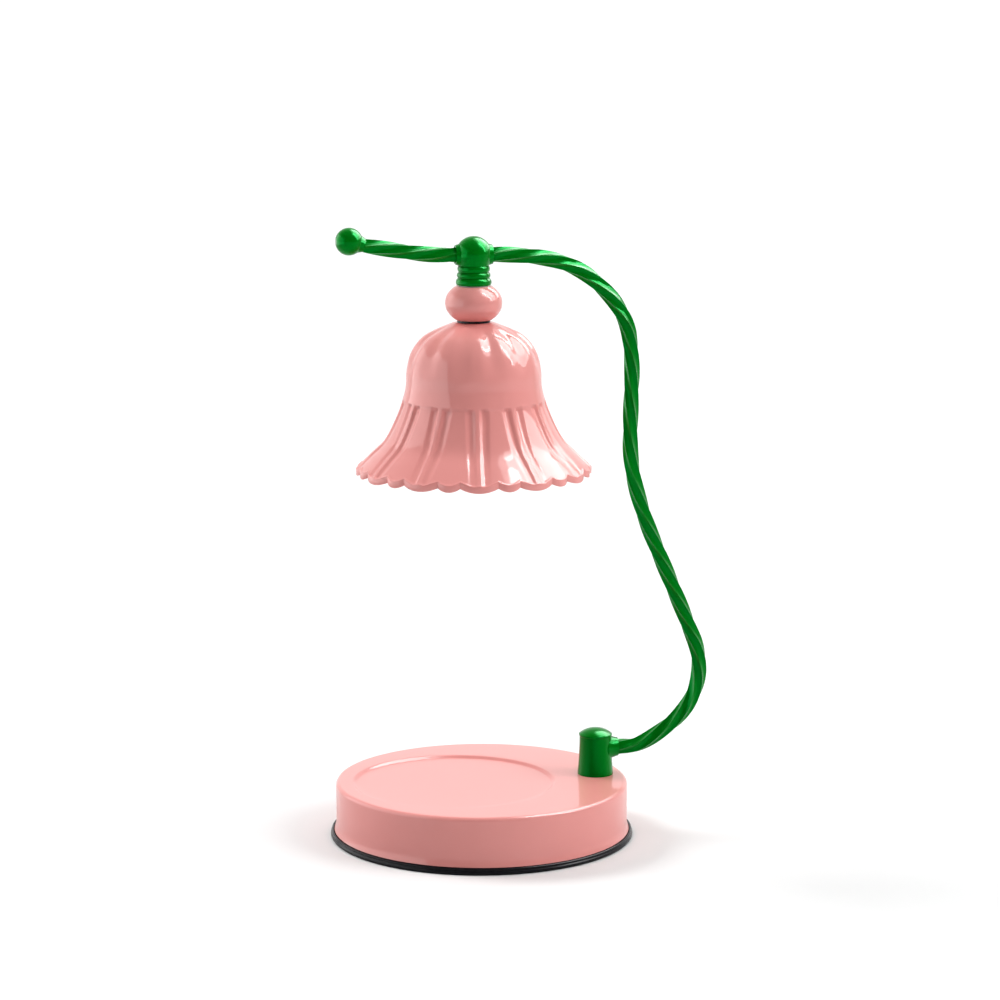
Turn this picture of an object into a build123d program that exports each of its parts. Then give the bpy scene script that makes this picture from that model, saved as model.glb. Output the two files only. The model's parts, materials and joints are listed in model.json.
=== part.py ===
from build123d import *
import math
import os

# Candle warmer lamp. Millimetres, +Z up. The origin is the centre of the underside of the round base.
# The post, the arm, the hub and the finial lie in the XZ plane, with the post on the +X side.

# Driving dimensions: base
BASE_R = 75.0
BASE_TOP = 28.5
SHEET = 1.2
BASE_EDGE_R = 2.0
FLARE_R = 76.6
FLARE_TOP = 9.5
FLARE_BOW = 0.28
FOOT_TOP = 3.5
FOOT_BEAD_R = 1.1
UPPER_BEAD_R = 0.75
FOOT_RING_INNER_R = 73.2
SEAT_X = -14.6
SEAT_R = 51.8
SEAT_SLOPE = 1.4
SEAT_DEPTH = 1.3
SEAT_BACKING = 0.6
COVER_BOTTOM = 1.4
COVER_TOP = 2.4
COVER_R = 75.0
PAD_R = 72.4
PAD_HOLE_R = 4.0
BALLAST_R = 58.0
BALLAST_TOP = 10.4
RIVET_R = 2.5
RIVET_CIRCLE_R = 40.0
RIVET_HEAD_R = 4.2
RIVET_HEAD_TOP_R = 2.8
RIVET_HEAD_HEIGHT = 1.8
COVER_SCREW_CIRCLE_R = 67.0
COVER_SCREW_R = 1.5
COVER_SCREW_END = 7.4
SCREW_HEAD_R = 2.8
SCREW_HEAD_BOTTOM = 0.2
SLOT_WIDTH = 0.7
LUG_START_R = 62.5
LUG_WALL_R = 71.0
LUG_END_R = 73.4
LUG_HALF_WIDTH = 5.0
LUG_THICKNESS = 2.0
LUG_TOP = 16.0
GLAND_Z = 15.6
GLAND_BORE_R = 3.1
GLAND_INNER_Y = 68.3
GLAND_OUTER_Y = 76.3
GLAND_SLEEVE_R = 4.3
GLAND_FLANGE_R = 5.8
GLAND_LIP_R = 5.4
GLAND_LIP = 1.35
GLAND_PLAY = 0.25
TERMINAL_Y = 45.0
TERMINAL_SIZE = (24.0, 16.0, 11.0)
TERMINAL_X = 5.0
TERMINAL_ROW_Y = 4.0
TERMINAL_GROOVE_HALF = 0.8
TERMINAL_GROOVE_FLOOR = 17.4
WIRE_HOLE_Z = 15.0
WIRE_HOLE_R = 1.8
TERMINAL_SCREW_R = 2.0
TERMINAL_SCREW_BOTTOM = 17.2
TERMINAL_SCREW_TOP = 20.4

# Driving dimensions: post
POST_X = 60.2
POST_FOOT_R = 9.2
POST_WAIST_R = 8.3
POST_WAIST_Z = 46.5
POST_SHOULDER_R = 8.6
POST_SHOULDER_Z = 50.2
POST_LIP = 1.2
POST_CAP_EDGE = 0.5
POST_APEX = 52.9
POST_HOLE_R = 5.1
POST_BORE_TOP = 37.0
SOCKET_Z = 42.2
SOCKET_MOUTH_X = 71.8
BOSS_R = 6.9
BOSS_MOUTH_R = 4.8
BOSS_ROOT = 5.8
BOSS_WAIST = (8.8, 5.6)
ARM_GRUB_X = 65.2
ARM_GRUB_R = 1.5
ARM_GRUB_END = 6.3
HEX_KEY_R = 0.75
HEX_KEY_DEPTH = 1.2
NIPPLE_R = 5.0
POST_NIPPLE_BOTTOM = 19.5
POST_NUT_HEIGHT = 4.0
POST_WASHER_R = 10.0
WASHER_HEIGHT = 1.0
WASHER_BORE_R = 5.2

# Driving dimensions: arm, hub and finial
TUBE_R = 4.1
TUBE_BORE_R = 2.6
LEAD_R = 1.2
LEAD_IN_BASE = [(3, 22, 14.4), (30, 6, 13.8)]
LEAD_BENDS_IN_BASE = [12, 25, 5, 3.2]
LEAD_BEND_IN_HUB = 2.0
HEAD_X = -3.8
HUB_Z = 299.8
HUB_R = 9.2
HUB_BOTTOM = 294.2
HUB_BORE_Z = 299.6
HUB_BOSS = 9.5
HUB_BOSS_ROOT = 5.0
HUB_BOSS_ROOT_R = 6.2
HUB_BOSS_MOUTH_R = 4.9
HUB_NECK_R = 7.8
HUB_NECK_HEIGHT = 1.8
HUB_BORE_R = 3.0
BALL_X = -66.9
BALL_Z = 307.3
BALL_R = 6.95
BALL_FLAT = 0.35
BALL_NECK_START = 5.0
BALL_NECK_R = 4.6
BALL_NECK_END_R = 3.4
ROD_R = 4.0
SPIGOT_R = 2.0
SPIGOT_LENGTH = 7.0
GRUB_R = 1.25
GRUB_OFFSET = 5.6
GRUB_END = 7.1
COLLAR_SPIGOT_R = 6.9
COLLAR_SPIGOT_INNER_R = 6.1

# Driving dimensions: head
THREAD_R = 4.95
RUNNING_GAP = 0.08
NIPPLE_BORE_R = 3.2
NIPPLE_BOTTOM = 255.2
FLANGE_R = 5.8
FLANGE_TOP = 295.3
COLLAR_BOTTOM = 284.4
COLLAR_RIBS = [
    (7.6, HUB_BOTTOM),
    (8.2, 292.6),
    (7.6, 290.9),
    (8.5, 289.5),
    (7.9, 288.0),
    (9.0, 286.3),
    (8.6, COLLAR_BOTTOM),
]
BEAD_R = 14.45
BEAD_HALF_HEIGHT = 10.9
BEAD_Z = 275.4
BEAD_TOP = 283.9
BEAD_BOTTOM = 266.8
FRICTION_WASHER_R = 8.1
NECK_WASHER_R = 8.3
SHADE_WASHER_R = 8.8
SHADE_WASHER_HEIGHT = 0.8
SHADE_TOP = 265.7
SHADE_WALL = 2.2
SHADE_BORE_R = 5.1
SHADE_LINE = [
    (9.6, SHADE_TOP),
    (17.6, 262.7),
    (25.4, 258.6),
    (31.2, 251.4),
    (33.9, 242.0),
    (34.5, 233.0),
    (36.3, 225.5),
    (40.2, 215.4),
    (45.4, 205.8),
    (52.6, 198.6),
    (61.6, 189.6),
]
PETALS = 12
PETAL_PHASE = 21.6
PETAL_R = 59.8
SMALL_PETAL_R = 59.5
NOTCH_R = 58.2
PETAL_HALF = 9.4
NUT_FLATS = 14.0
HOLDER_BOTTOM = 242.2
HOLDER_TOP = 254.5
HOLDER_R = 13.5
HOLDER_FLAT = 13.0
HOLDER_FLOOR = 1.7
HOLDER_POCKET_R = 8.2
HOLDER_POCKET_TOP = 250.0
PIN_SLOT_PLAY = 0.6
WIRE_WAY_R = 1.5
HOLDER_SCREW_Z = 251.5
HOLDER_SCREW_R = 1.5
HOLDER_SCREW_START = 9.5
HOLDER_SCREW_HEAD_R = 2.6
HOLDER_SCREW_HEAD = 1.4
PLATE_BOTTOM = 257.9
PLATE_HALF = 6.0
BRACKET_SHEET = 1.0
BRACKET_NUT_HEIGHT = 2.5
LEG_HALF = 5.0
LEG_BOTTOM = 246.5
CONTACT_BOTTOM = 247.0
CONTACT_SHEET = 0.5
CONTACT_START = 3.0
CONTACT_RISER = 6.2
CONTACT_END = 7.0

# Driving dimensions: bulb
BULB_FACE = 194.5
BULB_R = 25.0
GLASS_WALL = 1.4
CAP_TOP = 241.9
CAP_R = 13.2
PLUG_R = 11.5
PLUG_BOTTOM = 226.5
PIN_CIRCLE_R = 5.0
PIN_NECK_R = 1.3
PIN_HEAD_R = 2.4
PIN_ENTRY_R = 2.75
PIN_DEPTH = 2.0
PIN_NECK = 2.5
PIN_HEAD = 2.2
TWIST = 20.0
REFLECTOR_RIM = 198.2
REFLECTOR_NECK = 231.5
REFLECTOR_LINE = [
    (BULB_R, REFLECTOR_RIM),
    (23.2, 207.5),
    (18.6, 217.5),
    (13.9, 225.5),
    (CAP_R, REFLECTOR_NECK),
]
LENS_INSET = 0.6
LENS_THICKNESS = 2.0
CAP_SHOULDER = 238.5
CAP_CHAMFER = 1.4
STEM_R = 3.0
CAPSULE_R = 4.6
CAPSULE_BOTTOM = 211.0
CAPSULE_TOP = 222.0
STEM_BOTTOM = 225.0

# Centreline of the arm, as the corners of a polyline whose runs are joined by tangent arcs
ARM_CORNERS = [
    (85.0, SOCKET_Z),
    (110.3, 60.2),
    (117.4, 85.0),
    (106.8, 111.6),
    (95.8, 137.6),
    (84.7, 164.0),
    (77.6, 190.4),
    (77.7, 217.5),
    (78.7, 246.3),
    (74.3, 269.7),
    (51.8, 292.4),
    (24.0, HUB_BORE_Z),
]
ARM_FOOT_X = 62.5
ARM_END_X = 0.5

# Centreline of the finial rod, from inside the hub to the neck of the ball
ROD_CORNERS = [(-18.0, HUB_BORE_Z), (-31.4, 300.5), (-47.6, 303.2), (-58.0, 304.9)]
ROD_START_X = -7.3
ROD_END = (-59.3, 305.25)


def cylinder(x, y, bottom, top, radius):
    """An upright cylinder between two heights."""
    return Pos(x, y, bottom) * Cylinder(
        radius, top - bottom, align=(Align.CENTER, Align.CENTER, Align.MIN)
    )


def ring(x, y, bottom, top, outer, inner):
    """An upright cylinder with a round hole through it."""
    return cylinder(x, y, bottom, top, outer) - cylinder(x, y, bottom - 1, top + 1, inner)


def rod_along_x(start, end, z, radius):
    """A cylinder along X in the XZ plane."""
    body = Cylinder(radius, end - start, align=(Align.CENTER, Align.CENTER, Align.MIN))
    return Pos(start, 0, z) * Rot(0, 90, 0) * body


def rod_along_y(x, z, start, end, radius):
    """A cylinder along Y."""
    body = Cylinder(radius, end - start, align=(Align.CENTER, Align.CENTER, Align.MIN))
    return Pos(x, start, z) * Rot(-90, 0, 0) * body


def hexagon(x, bottom, top, flats):
    """A hexagonal prism, measured across its flats."""
    outline = RegularPolygon(flats / 2, 6, major_radius=False)
    return Pos(x, 0, bottom) * extrude(outline, top - bottom)


def turned(x, *edges):
    """A solid of revolution about the upright line at x, from edges drawn as (radius, height)."""
    outline = Wire(list(edges))
    face = Plane.XZ * make_face(outline)
    return Pos(x, 0, 0) * revolve(face, Axis.Z)


def polyline_edges(*points):
    """Straight edges through the points, in order."""
    return [Line(a, b) for a, b in zip(points, points[1:])]


def box_between(low, high):
    """A box from its lowest corner to its highest."""
    size = [b - a for a, b in zip(low, high)]
    return Pos(*low) * Box(*size, align=(Align.MIN, Align.MIN, Align.MIN))


def around(count, radius, start=0.0):
    """Points equally spaced on a circle about the origin, as (angle, x, y)."""
    for k in range(count):
        angle = start + 360 * k / count
        turn = math.radians(angle)
        yield angle, radius * math.cos(turn), radius * math.sin(turn)


def corner_radii(points):
    """The largest arc that each corner's two runs allow: 0.45 of the shorter run."""
    radii = []
    for before, here, after in zip(points, points[1:], points[2:]):
        run_in = Vector(*here) - Vector(*before)
        run_out = Vector(*after) - Vector(*here)
        shorter = min(run_in.length, run_out.length)
        radii.append(0.45 * shorter / math.tan(math.radians(run_in.get_angle(run_out)) / 2))
    return radii


def swept(points, radii, radius, bore=None):
    """A round bar, or a tube when a bore is given, along a polyline with arcs at its corners."""
    path = FilletPolyline(*points, radius=radii)
    start = Plane(origin=path @ 0, z_dir=path % 0)
    bar = sweep(start * Circle(radius), path=path)
    if bore is None:
        return bar
    return bar - sweep(start * Circle(bore), path=path)


def upright(points):
    """Points given as (x, z) placed in the XZ plane."""
    return [(x, 0.0, z) for x, z in points]


# Base


def base_shell():
    """Deep-drawn drum with a rounded top edge, a flared foot and a pressed round seat in its top."""
    inner_r = BASE_R - SHEET
    ceiling = BASE_TOP - SHEET
    edge = BASE_EDGE_R
    inner_edge = edge - SHEET
    bow_z = (FLARE_TOP + FOOT_TOP) / 2
    bow = (FLARE_R - BASE_R) * FLARE_BOW
    drum = turned(
        0,
        Line((0, FOOT_TOP), (FLARE_R, FOOT_TOP)),
        ThreePointArc((FLARE_R, FOOT_TOP), (BASE_R + bow, bow_z), (BASE_R, FLARE_TOP)),
        Line((BASE_R, FLARE_TOP), (BASE_R, BASE_TOP - edge)),
        RadiusArc((BASE_R, BASE_TOP - edge), (BASE_R - edge, BASE_TOP), -edge),
        Line((BASE_R - edge, BASE_TOP), (0, BASE_TOP)),
        Line((0, BASE_TOP), (0, FOOT_TOP)),
    )
    flare_inner = FLARE_R - SHEET
    hollow = turned(
        0,
        Line((0, FOOT_TOP), (flare_inner, FOOT_TOP)),
        ThreePointArc((flare_inner, FOOT_TOP), (inner_r + bow, bow_z), (inner_r, FLARE_TOP)),
        Line((inner_r, FLARE_TOP), (inner_r, ceiling - inner_edge)),
        RadiusArc((inner_r, ceiling - inner_edge), (inner_r - inner_edge, ceiling), -inner_edge),
        Line((inner_r - inner_edge, ceiling), (0, ceiling)),
        Line((0, ceiling), (0, FOOT_TOP)),
    )
    seat = Pos(SEAT_X, 0, BASE_TOP - SEAT_DEPTH / 2) * Cone(SEAT_R - SEAT_SLOPE, SEAT_R, SEAT_DEPTH)
    backing = cylinder(SEAT_X, 0, ceiling - SEAT_DEPTH, ceiling, SEAT_R + SEAT_BACKING)
    post_hole = cylinder(POST_X, 0, ceiling - 1, BASE_TOP + 1, POST_HOLE_R)
    gland_hole = rod_along_y(0, GLAND_Z, BASE_R - 8, BASE_R + 3, GLAND_SLEEVE_R)
    return drum - hollow + backing - seat - post_hole - gland_hole


def base_ring():
    """Rubber edging: two beads outside, and a slot inside that grips the cover."""
    core_r = FLARE_R + 0.1
    body = ring(0, 0, 0, FOOT_TOP, core_r, FOOT_RING_INNER_R)
    low = Pos(0, 0, FOOT_BEAD_R) * Torus(core_r + 0.1, FOOT_BEAD_R)
    high = Pos(0, 0, FOOT_TOP - UPPER_BEAD_R) * Torus(core_r, UPPER_BEAD_R)
    hole = cylinder(0, 0, -1, FOOT_TOP + 1, FOOT_RING_INNER_R)
    return body + low + high - hole - cylinder(0, 0, COVER_BOTTOM, COVER_TOP, COVER_R)


def bottom_cover():
    cover = cylinder(0, 0, COVER_BOTTOM, COVER_TOP, COVER_R)
    for _, x, y in around(4, COVER_SCREW_CIRCLE_R, 45):
        cover -= cylinder(x, y, 0, 5, COVER_SCREW_R + 0.1)
    for _, x, y in around(3, RIVET_CIRCLE_R, 60):
        cover -= cylinder(x, y, 0, 5, RIVET_R)
    return cover


def foot_pad():
    pad = cylinder(0, 0, 0, COVER_BOTTOM, PAD_R)
    for _, x, y in around(4, COVER_SCREW_CIRCLE_R, 45):
        pad -= cylinder(x, y, -1, COVER_TOP, PAD_HOLE_R)
    return pad


def ballast_plate():
    plate = cylinder(0, 0, COVER_TOP, BALLAST_TOP, BALLAST_R)
    plate = chamfer(plate.edges().group_by(Axis.Z)[-1], 1.0)
    for _, x, y in around(3, RIVET_CIRCLE_R, 60):
        plate -= cylinder(x, y, 0, 20, RIVET_R)
    return plate


def ballast_rivets():
    """Rivets flush with the underside of the cover, with a low round head on the weight."""
    rivets = []
    for _, x, y in around(3, RIVET_CIRCLE_R, 60):
        cone = Cone(RIVET_HEAD_R, RIVET_HEAD_TOP_R, RIVET_HEAD_HEIGHT)
        head = Pos(x, y, BALLAST_TOP + RIVET_HEAD_HEIGHT / 2) * cone
        rivets.append(cylinder(x, y, COVER_BOTTOM, BALLAST_TOP, RIVET_R) + head)
    return Compound(rivets)


def cover_lugs():
    """Bent lugs inside the drum that the cover's screws are driven into."""
    half = LUG_HALF_WIDTH
    bend = COVER_TOP + LUG_THICKNESS
    foot = box_between((LUG_START_R, -half, COVER_TOP), (LUG_END_R - 0.6, half, bend))
    wall = box_between((LUG_WALL_R, -half, bend), (LUG_END_R, half, LUG_TOP))
    lug = foot + wall - cylinder(COVER_SCREW_CIRCLE_R, 0, 0, bend + 1, COVER_SCREW_R)
    return Compound([Rot(0, 0, angle) * lug for angle, _, _ in around(4, 1, 45)])


def cover_screws():
    """Pan-head screws, seen through the holes in the pad."""
    screws = []
    for angle, x, y in around(4, COVER_SCREW_CIRCLE_R, 45):
        head = cylinder(x, y, SCREW_HEAD_BOTTOM, COVER_BOTTOM, SCREW_HEAD_R)
        head = fillet(head.edges().group_by(Axis.Z)[0], 0.5)
        for turn in (angle, angle + 90):
            head -= Pos(x, y, SCREW_HEAD_BOTTOM + 0.1) * Rot(0, 0, turn) * Box(4.0, SLOT_WIDTH, 0.9)
        screws.append(head + cylinder(x, y, COVER_BOTTOM, COVER_SCREW_END, COVER_SCREW_R))
    return Compound(screws)


def cord_gland():
    """Rubber grommet through the back of the drum."""
    sleeve = rod_along_y(0, GLAND_Z, GLAND_INNER_Y, GLAND_OUTER_Y, GLAND_SLEEVE_R)
    flange = rod_along_y(0, GLAND_Z, BASE_R, GLAND_OUTER_Y, GLAND_FLANGE_R)
    lip_end = BASE_R - SHEET - GLAND_PLAY
    lip = rod_along_y(0, GLAND_Z, lip_end - GLAND_LIP, lip_end, GLAND_LIP_R)
    bore = rod_along_y(0, GLAND_Z, GLAND_INNER_Y - 1, GLAND_OUTER_Y + 1, GLAND_BORE_R)
    return sleeve + flange + lip - bore


def terminal_block():
    width, depth, height = TERMINAL_SIZE
    low = (-width / 2, TERMINAL_Y - depth / 2, BALLAST_TOP)
    high = (width / 2, TERMINAL_Y + depth / 2, BALLAST_TOP + height)
    block = box_between(low, high)
    groove_low = (-TERMINAL_GROOVE_HALF, low[1] - 1, TERMINAL_GROOVE_FLOOR)
    block -= box_between(groove_low, (TERMINAL_GROOVE_HALF, high[1] + 1, high[2] + 1))
    for x in (-TERMINAL_X, TERMINAL_X):
        block -= rod_along_y(x, WIRE_HOLE_Z, TERMINAL_Y - 2, TERMINAL_Y + depth, WIRE_HOLE_R)
        for y in (-TERMINAL_ROW_Y, TERMINAL_ROW_Y):
            block -= cylinder(x, TERMINAL_Y + y, TERMINAL_SCREW_BOTTOM, high[2] + 1, TERMINAL_SCREW_R)
    return block


def terminal_screws():
    screws = []
    for x in (-TERMINAL_X, TERMINAL_X):
        for y in (TERMINAL_Y - TERMINAL_ROW_Y, TERMINAL_Y + TERMINAL_ROW_Y):
            screw = cylinder(x, y, TERMINAL_SCREW_BOTTOM, TERMINAL_SCREW_TOP, TERMINAL_SCREW_R)
            screws.append(screw - Pos(x, y, TERMINAL_SCREW_TOP - 0.2) * Box(SLOT_WIDTH, 5, 1.2))
    return Compound(screws)


# Post


def post():
    """Slightly waisted post with a proud rounded cap, and a flared boss that takes the arm."""
    lip = POST_SHOULDER_Z - POST_LIP
    foot = BASE_TOP + 1
    belly = (POST_FOOT_R + POST_WAIST_R) / 2 - 0.1, (foot + POST_WAIST_Z) / 2 - 1.5
    brim = POST_SHOULDER_R - POST_CAP_EDGE
    rise = POST_APEX - POST_SHOULDER_Z
    dome_r = (brim**2 + rise**2) / (2 * rise)
    body = turned(
        POST_X,
        *polyline_edges((0, BASE_TOP), (POST_FOOT_R, BASE_TOP), (POST_FOOT_R, foot)),
        ThreePointArc((POST_FOOT_R, foot), belly, (POST_WAIST_R, POST_WAIST_Z)),
        *polyline_edges(
            (POST_WAIST_R, POST_WAIST_Z), (POST_WAIST_R, lip - 0.4), (POST_SHOULDER_R, lip)
        ),
        Line((POST_SHOULDER_R, lip), (POST_SHOULDER_R, POST_SHOULDER_Z - 0.4)),
        Line((POST_SHOULDER_R, POST_SHOULDER_Z - 0.4), (brim, POST_SHOULDER_Z)),
        RadiusArc((brim, POST_SHOULDER_Z), (0, POST_APEX), -dome_r),
        Line((0, POST_APEX), (0, BASE_TOP)),
    )
    reach = SOCKET_MOUTH_X - POST_X
    flare = Wire(
        [
            *polyline_edges((reach, 0), (0, 0), (0, BOSS_R), (BOSS_ROOT, BOSS_R)),
            ThreePointArc((BOSS_ROOT, BOSS_R), BOSS_WAIST, (reach, BOSS_MOUTH_R)),
            Line((reach, BOSS_MOUTH_R), (reach, 0)),
        ]
    )
    boss = revolve(make_face(flare), Axis.X)
    body += Pos(POST_X, 0, SOCKET_Z) * boss
    body -= cylinder(POST_X, 0, BASE_TOP - 1, POST_BORE_TOP, NIPPLE_R)
    body -= cylinder(POST_X, 0, POST_BORE_TOP - 1, SOCKET_Z, NIPPLE_BORE_R)
    body -= rod_along_x(POST_X, ARM_FOOT_X + 1, SOCKET_Z, TUBE_BORE_R)
    body -= rod_along_x(ARM_FOOT_X, SOCKET_MOUTH_X + 3, SOCKET_Z, TUBE_R)
    return body - rod_along_y(ARM_GRUB_X, SOCKET_Z, TUBE_R - 0.5, 12, ARM_GRUB_R)


def arm_grub_screw():
    screw = rod_along_y(ARM_GRUB_X, SOCKET_Z, TUBE_R, ARM_GRUB_END, ARM_GRUB_R)
    socket = Rot(90, 0, 0) * extrude(RegularPolygon(HEX_KEY_R, 6), HEX_KEY_DEPTH)
    return screw - Pos(ARM_GRUB_X, ARM_GRUB_END, SOCKET_Z) * socket


def post_nipple():
    return ring(POST_X, 0, POST_NIPPLE_BOTTOM, POST_BORE_TOP, NIPPLE_R, NIPPLE_BORE_R)


def post_washer():
    ceiling = BASE_TOP - SHEET
    return ring(POST_X, 0, ceiling - WASHER_HEIGHT, ceiling, POST_WASHER_R, WASHER_BORE_R)


def post_nut():
    top = BASE_TOP - SHEET - WASHER_HEIGHT
    bottom = top - POST_NUT_HEIGHT
    return hexagon(POST_X, bottom, top, NUT_FLATS) - cylinder(POST_X, 0, bottom - 1, top + 1, NIPPLE_R)


# Arm, hub and finial


def arm_route():
    """The arm's centreline from the post's socket to the hub's."""
    ends = (ARM_FOOT_X, SOCKET_Z), (ARM_END_X, HUB_BORE_Z)
    return upright([ends[0], *ARM_CORNERS, ends[1]])


def arm_tube():
    route = arm_route()
    return swept(route, corner_radii(route), TUBE_R, TUBE_BORE_R)


def arm_lead():
    """Two-core lead from the terminal block up the post and through the arm, to just above the head."""
    arm = arm_route()
    block_face = TERMINAL_Y - TERMINAL_SIZE[1] / 2
    start = (0, block_face, WIRE_HOLE_Z)
    below_post = (POST_X, 0, LEAD_IN_BASE[-1][2])
    corner = (POST_X, 0, SOCKET_Z)
    top = (HEAD_X, 0, HUB_BORE_Z)
    end = (HEAD_X, 0, FLANGE_TOP + 0.4)
    route = [start, *LEAD_IN_BASE, below_post, corner, *arm[1:-1], top, end]
    return swept(route, [*LEAD_BENDS_IN_BASE, *corner_radii(arm), LEAD_BEND_IN_HUB], LEAD_R)


def hub():
    """Ball with a short neck below, a tapered boss on each side and a pocket for the nipple's flange."""
    join_z = HUB_BOTTOM + HUB_NECK_HEIGHT
    join_r = math.sqrt(HUB_R**2 - (HUB_Z - join_z) ** 2)
    slant = HUB_R * math.sqrt(0.5)
    ball = turned(
        HEAD_X,
        *polyline_edges((0, HUB_BOTTOM), (HUB_NECK_R, HUB_BOTTOM), (join_r, join_z)),
        ThreePointArc((join_r, join_z), (slant, HUB_Z + slant), (0, HUB_Z + HUB_R)),
        Line((0, HUB_Z + HUB_R), (0, HUB_BOTTOM)),
    )
    boss_length = HUB_BOSS - HUB_BOSS_ROOT
    align = (Align.CENTER, Align.CENTER, Align.MIN)
    boss = Cone(HUB_BOSS_ROOT_R, HUB_BOSS_MOUTH_R, boss_length, align=align)
    for side in (-1, 1):
        ball += Pos(HEAD_X + side * HUB_BOSS_ROOT, 0, HUB_BORE_Z) * Rot(0, side * 90, 0) * boss
    ball -= rod_along_x(HEAD_X - HUB_BOSS - 1, HEAD_X + HUB_BOSS + 1, HUB_BORE_Z, TUBE_R)
    ball -= cylinder(HEAD_X, 0, HUB_BOTTOM - 1, FLANGE_TOP + 0.5, COLLAR_SPIGOT_R)
    ball -= cylinder(HEAD_X, 0, HUB_BOTTOM, HUB_BORE_Z, HUB_BORE_R)
    for side in (-1, 1):
        ball -= rod_along_y(HEAD_X + side * GRUB_OFFSET, HUB_BORE_Z, TUBE_R - 0.8, 12, GRUB_R)
    return ball


def hub_grub_screws():
    screws = []
    for side in (-1, 1):
        x = HEAD_X + side * GRUB_OFFSET
        screw = rod_along_y(x, HUB_BORE_Z, TUBE_R, GRUB_END, GRUB_R)
        socket = Rot(90, 0, 0) * extrude(RegularPolygon(HEX_KEY_R - 0.1, 6), HEX_KEY_DEPTH)
        screws.append(screw - Pos(x, GRUB_END, HUB_BORE_Z) * socket)
    return Compound(screws)


def hub_collar():
    """Three rounded ribs that widen downwards, and a threaded spigot that screws into the hub."""
    ribs = COLLAR_RIBS
    collar = turned(
        HEAD_X,
        Line((0, HUB_BOTTOM), ribs[0]),
        *[ThreePointArc(*ribs[k : k + 3]) for k in (0, 2, 4)],
        *polyline_edges(ribs[-1], (0, COLLAR_BOTTOM), (0, HUB_BOTTOM)),
    )
    spigot = ring(HEAD_X, 0, HUB_BOTTOM, FLANGE_TOP, COLLAR_SPIGOT_R, COLLAR_SPIGOT_INNER_R)
    bore_top = HUB_BOTTOM + 0.3
    return collar + spigot - cylinder(HEAD_X, 0, COLLAR_BOTTOM - 1, bore_top, THREAD_R + RUNNING_GAP)


def finial_direction():
    """Unit vector from the rod's end to the ball's centre."""
    return (Vector(BALL_X, 0, BALL_Z) - Vector(ROD_END[0], 0, ROD_END[1])).normalized()


def finial_rod():
    """Bar with a thin threaded spigot at its outer end."""
    route = upright([(ROD_START_X, HUB_BORE_Z), *ROD_CORNERS, ROD_END])
    rod = swept(route, corner_radii(route), ROD_R)
    tip = Plane(origin=(ROD_END[0], 0, ROD_END[1]), z_dir=finial_direction())
    return rod + tip * Cylinder(SPIGOT_R, SPIGOT_LENGTH, align=(Align.CENTER, Align.CENTER, Align.MIN))


def finial_ball():
    """Ball with a flat on its outer end and a short neck, drilled for the rod's spigot."""
    back = finial_direction() * -1
    centre = Vector(BALL_X, 0, BALL_Z)
    reach = (Vector(ROD_END[0], 0, ROD_END[1]) - centre).length
    ball = Pos(BALL_X, 0, BALL_Z) * Sphere(BALL_R)
    align = (Align.CENTER, Align.CENTER, Align.MIN)
    neck = Cone(BALL_NECK_R, BALL_NECK_END_R, reach - BALL_NECK_START, align=align)
    ball += Plane(origin=centre + back * BALL_NECK_START, z_dir=back) * neck
    flat_x = BALL_X - BALL_R + BALL_FLAT
    ball -= box_between((flat_x - 5, -BALL_R, BALL_Z - BALL_R), (flat_x, BALL_R, BALL_Z + BALL_R))
    tip = Plane(origin=centre + back * reach, z_dir=finial_direction())
    return ball - tip * Cylinder(SPIGOT_R, SPIGOT_LENGTH, align=align)


# Head


def neck_nipple():
    """Flanged tube that hangs in the hub and carries the whole head."""
    tube = cylinder(HEAD_X, 0, NIPPLE_BOTTOM, FLANGE_TOP, THREAD_R)
    flange = cylinder(HEAD_X, 0, HUB_BOTTOM, FLANGE_TOP, FLANGE_R)
    return tube + flange - cylinder(HEAD_X, 0, NIPPLE_BOTTOM - 1, FLANGE_TOP + 1, NIPPLE_BORE_R)


def friction_washer():
    return ring(HEAD_X, 0, BEAD_TOP, COLLAR_BOTTOM - 0.1, FRICTION_WASHER_R, WASHER_BORE_R)


def bead():
    """Oblate bead, flat at top and bottom."""

    def radius_at(z):
        return BEAD_R * math.sqrt(1 - ((z - BEAD_Z) / BEAD_HALF_HEIGHT) ** 2)

    def angle_at(z):
        return math.degrees(math.asin((z - BEAD_Z) / BEAD_HALF_HEIGHT))

    start = angle_at(BEAD_BOTTOM)
    side = EllipticalCenterArc(
        (0, BEAD_Z), BEAD_R, BEAD_HALF_HEIGHT, start_angle=start, arc_size=angle_at(BEAD_TOP) - start
    )
    body = turned(
        HEAD_X,
        Line((0, BEAD_BOTTOM), (radius_at(BEAD_BOTTOM), BEAD_BOTTOM)),
        side,
        Line((radius_at(BEAD_TOP), BEAD_TOP), (0, BEAD_TOP)),
        Line((0, BEAD_TOP), (0, BEAD_BOTTOM)),
    )
    return body - cylinder(HEAD_X, 0, BEAD_BOTTOM - 1, BEAD_TOP + 1, SHADE_BORE_R)


def neck_washer():
    return ring(HEAD_X, 0, SHADE_TOP, BEAD_BOTTOM, NECK_WASHER_R, WASHER_BORE_R)


def petal_outline():
    """Scalloped outline of the rim: wide and narrow petals in turn, meeting in sharp notches."""

    def at(angle, radius):
        turn = math.radians(angle + PETAL_PHASE)
        return radius * math.cos(turn), radius * math.sin(turn)

    step = 360 / PETALS
    edges = []
    for k in range(PETALS):
        middle = k * step
        left, right = middle - PETAL_HALF, middle + PETAL_HALF
        notches = at(left, NOTCH_R), at(right, NOTCH_R), at(left + step, NOTCH_R)
        edges.append(ThreePointArc(notches[0], at(middle, PETAL_R), notches[1]))
        edges.append(ThreePointArc(notches[1], at(middle + step / 2, SMALL_PETAL_R), notches[2]))
    return make_face(Wire(edges))


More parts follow.
